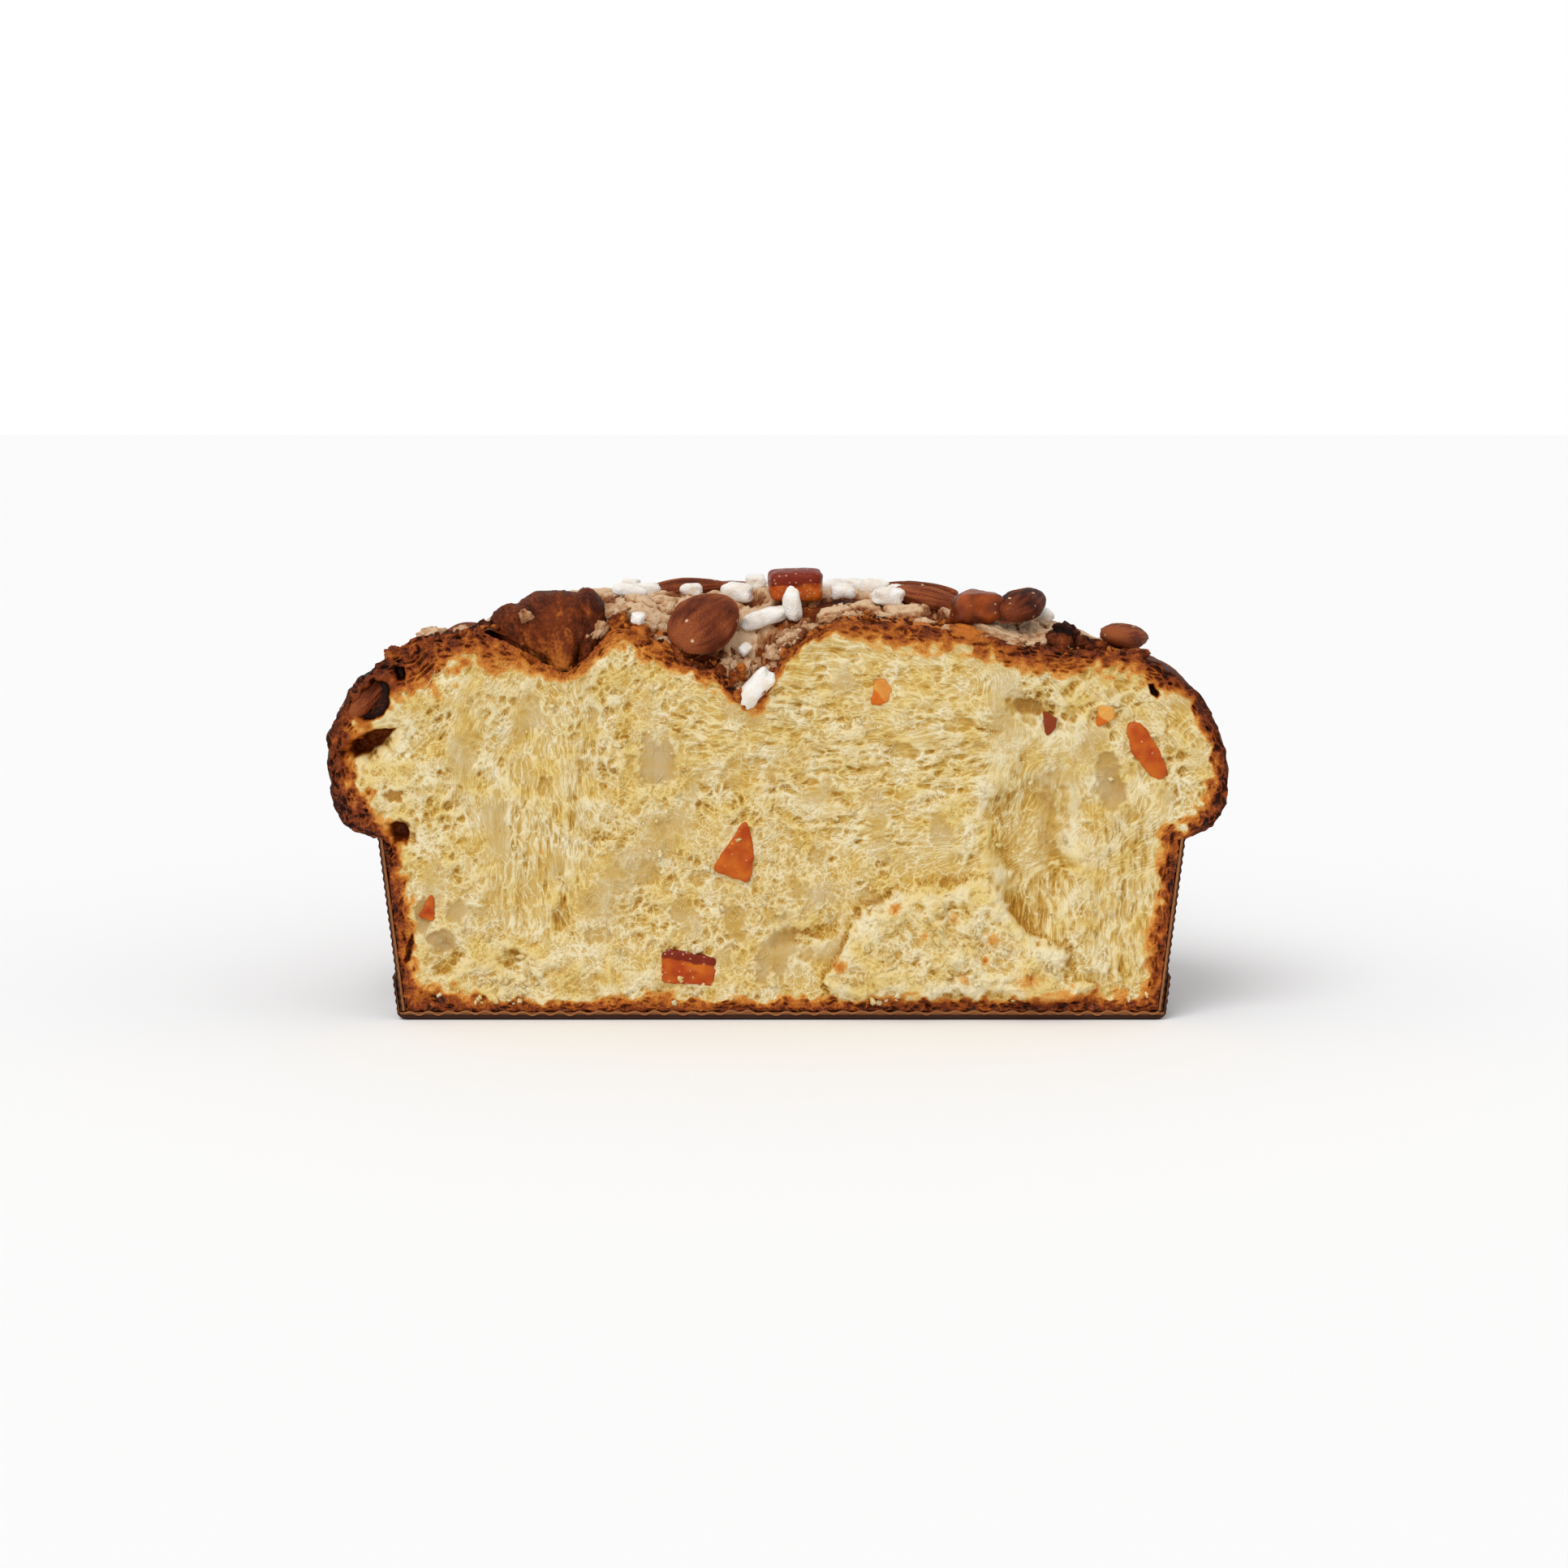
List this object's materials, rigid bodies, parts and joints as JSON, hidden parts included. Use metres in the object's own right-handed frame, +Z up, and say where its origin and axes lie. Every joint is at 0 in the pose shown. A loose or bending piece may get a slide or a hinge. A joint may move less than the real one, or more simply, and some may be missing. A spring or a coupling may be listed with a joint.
{
  "type": "half colomba easter bread",
  "caption": "Dove-shaped Easter bread cut in half across its wings, in its ribbed paper case, topped with baked glaze, whole almonds, pearl sugar and candied peel.",
  "frame": {"origin": "middle of the flat underside of the paper case", "axes": "+Z up; +X from wing to wing along the cut, -Y out of the cut face, +Y towards the tail"},
  "size_m": [0.2284, 0.1627, 0.1146],
  "materials": {
    "crumb_and_crust": "open yellow crumb with a brown crust",
    "baked_glaze": "dry cracked beige sugar glaze with white pearl sugar",
    "almond_skin": "matt brown ribbed almond skin",
    "candied_peel": "translucent glossy orange",
    "case_paper": "dark brown ribbed baking paper, kraft brown inside"
  },
  "bodies": {
    "root": {"loaf": "crumb_and_crust", "icing": "baked_glaze", "case_wall": "case_paper", "case_tray": "case_paper", "almond_front": "almond_skin", "almond_behind": "almond_skin", "almond_ridge_right": "almond_skin", "almond_flat": "almond_skin", "almond_end_on": "almond_skin", "almond_shoulder": "almond_skin", "almond_left_wing": "almond_skin", "almond_right_wing": "almond_skin", "almond_body_left": "almond_skin", "almond_body_right": "almond_skin", "almond_body_middle": "almond_skin", "almond_tail_right": "almond_skin", "almond_tail_left": "almond_skin", "almond_burnt": "almond_skin", "candied_top": "candied_peel", "candied_glazed": "candied_peel", "candied_body": "candied_peel", "candied_tail": "candied_peel", "candied_rear": "candied_peel", "candied_wedge": "candied_peel", "candied_slab": "candied_peel", "candied_strip": "candied_peel", "candied_chip_arch": "candied_peel", "candied_chip_wing": "candied_peel", "candied_sliver": "candied_peel", "candied_dark_chip": "candied_peel"}
  },
  "joints": []
}
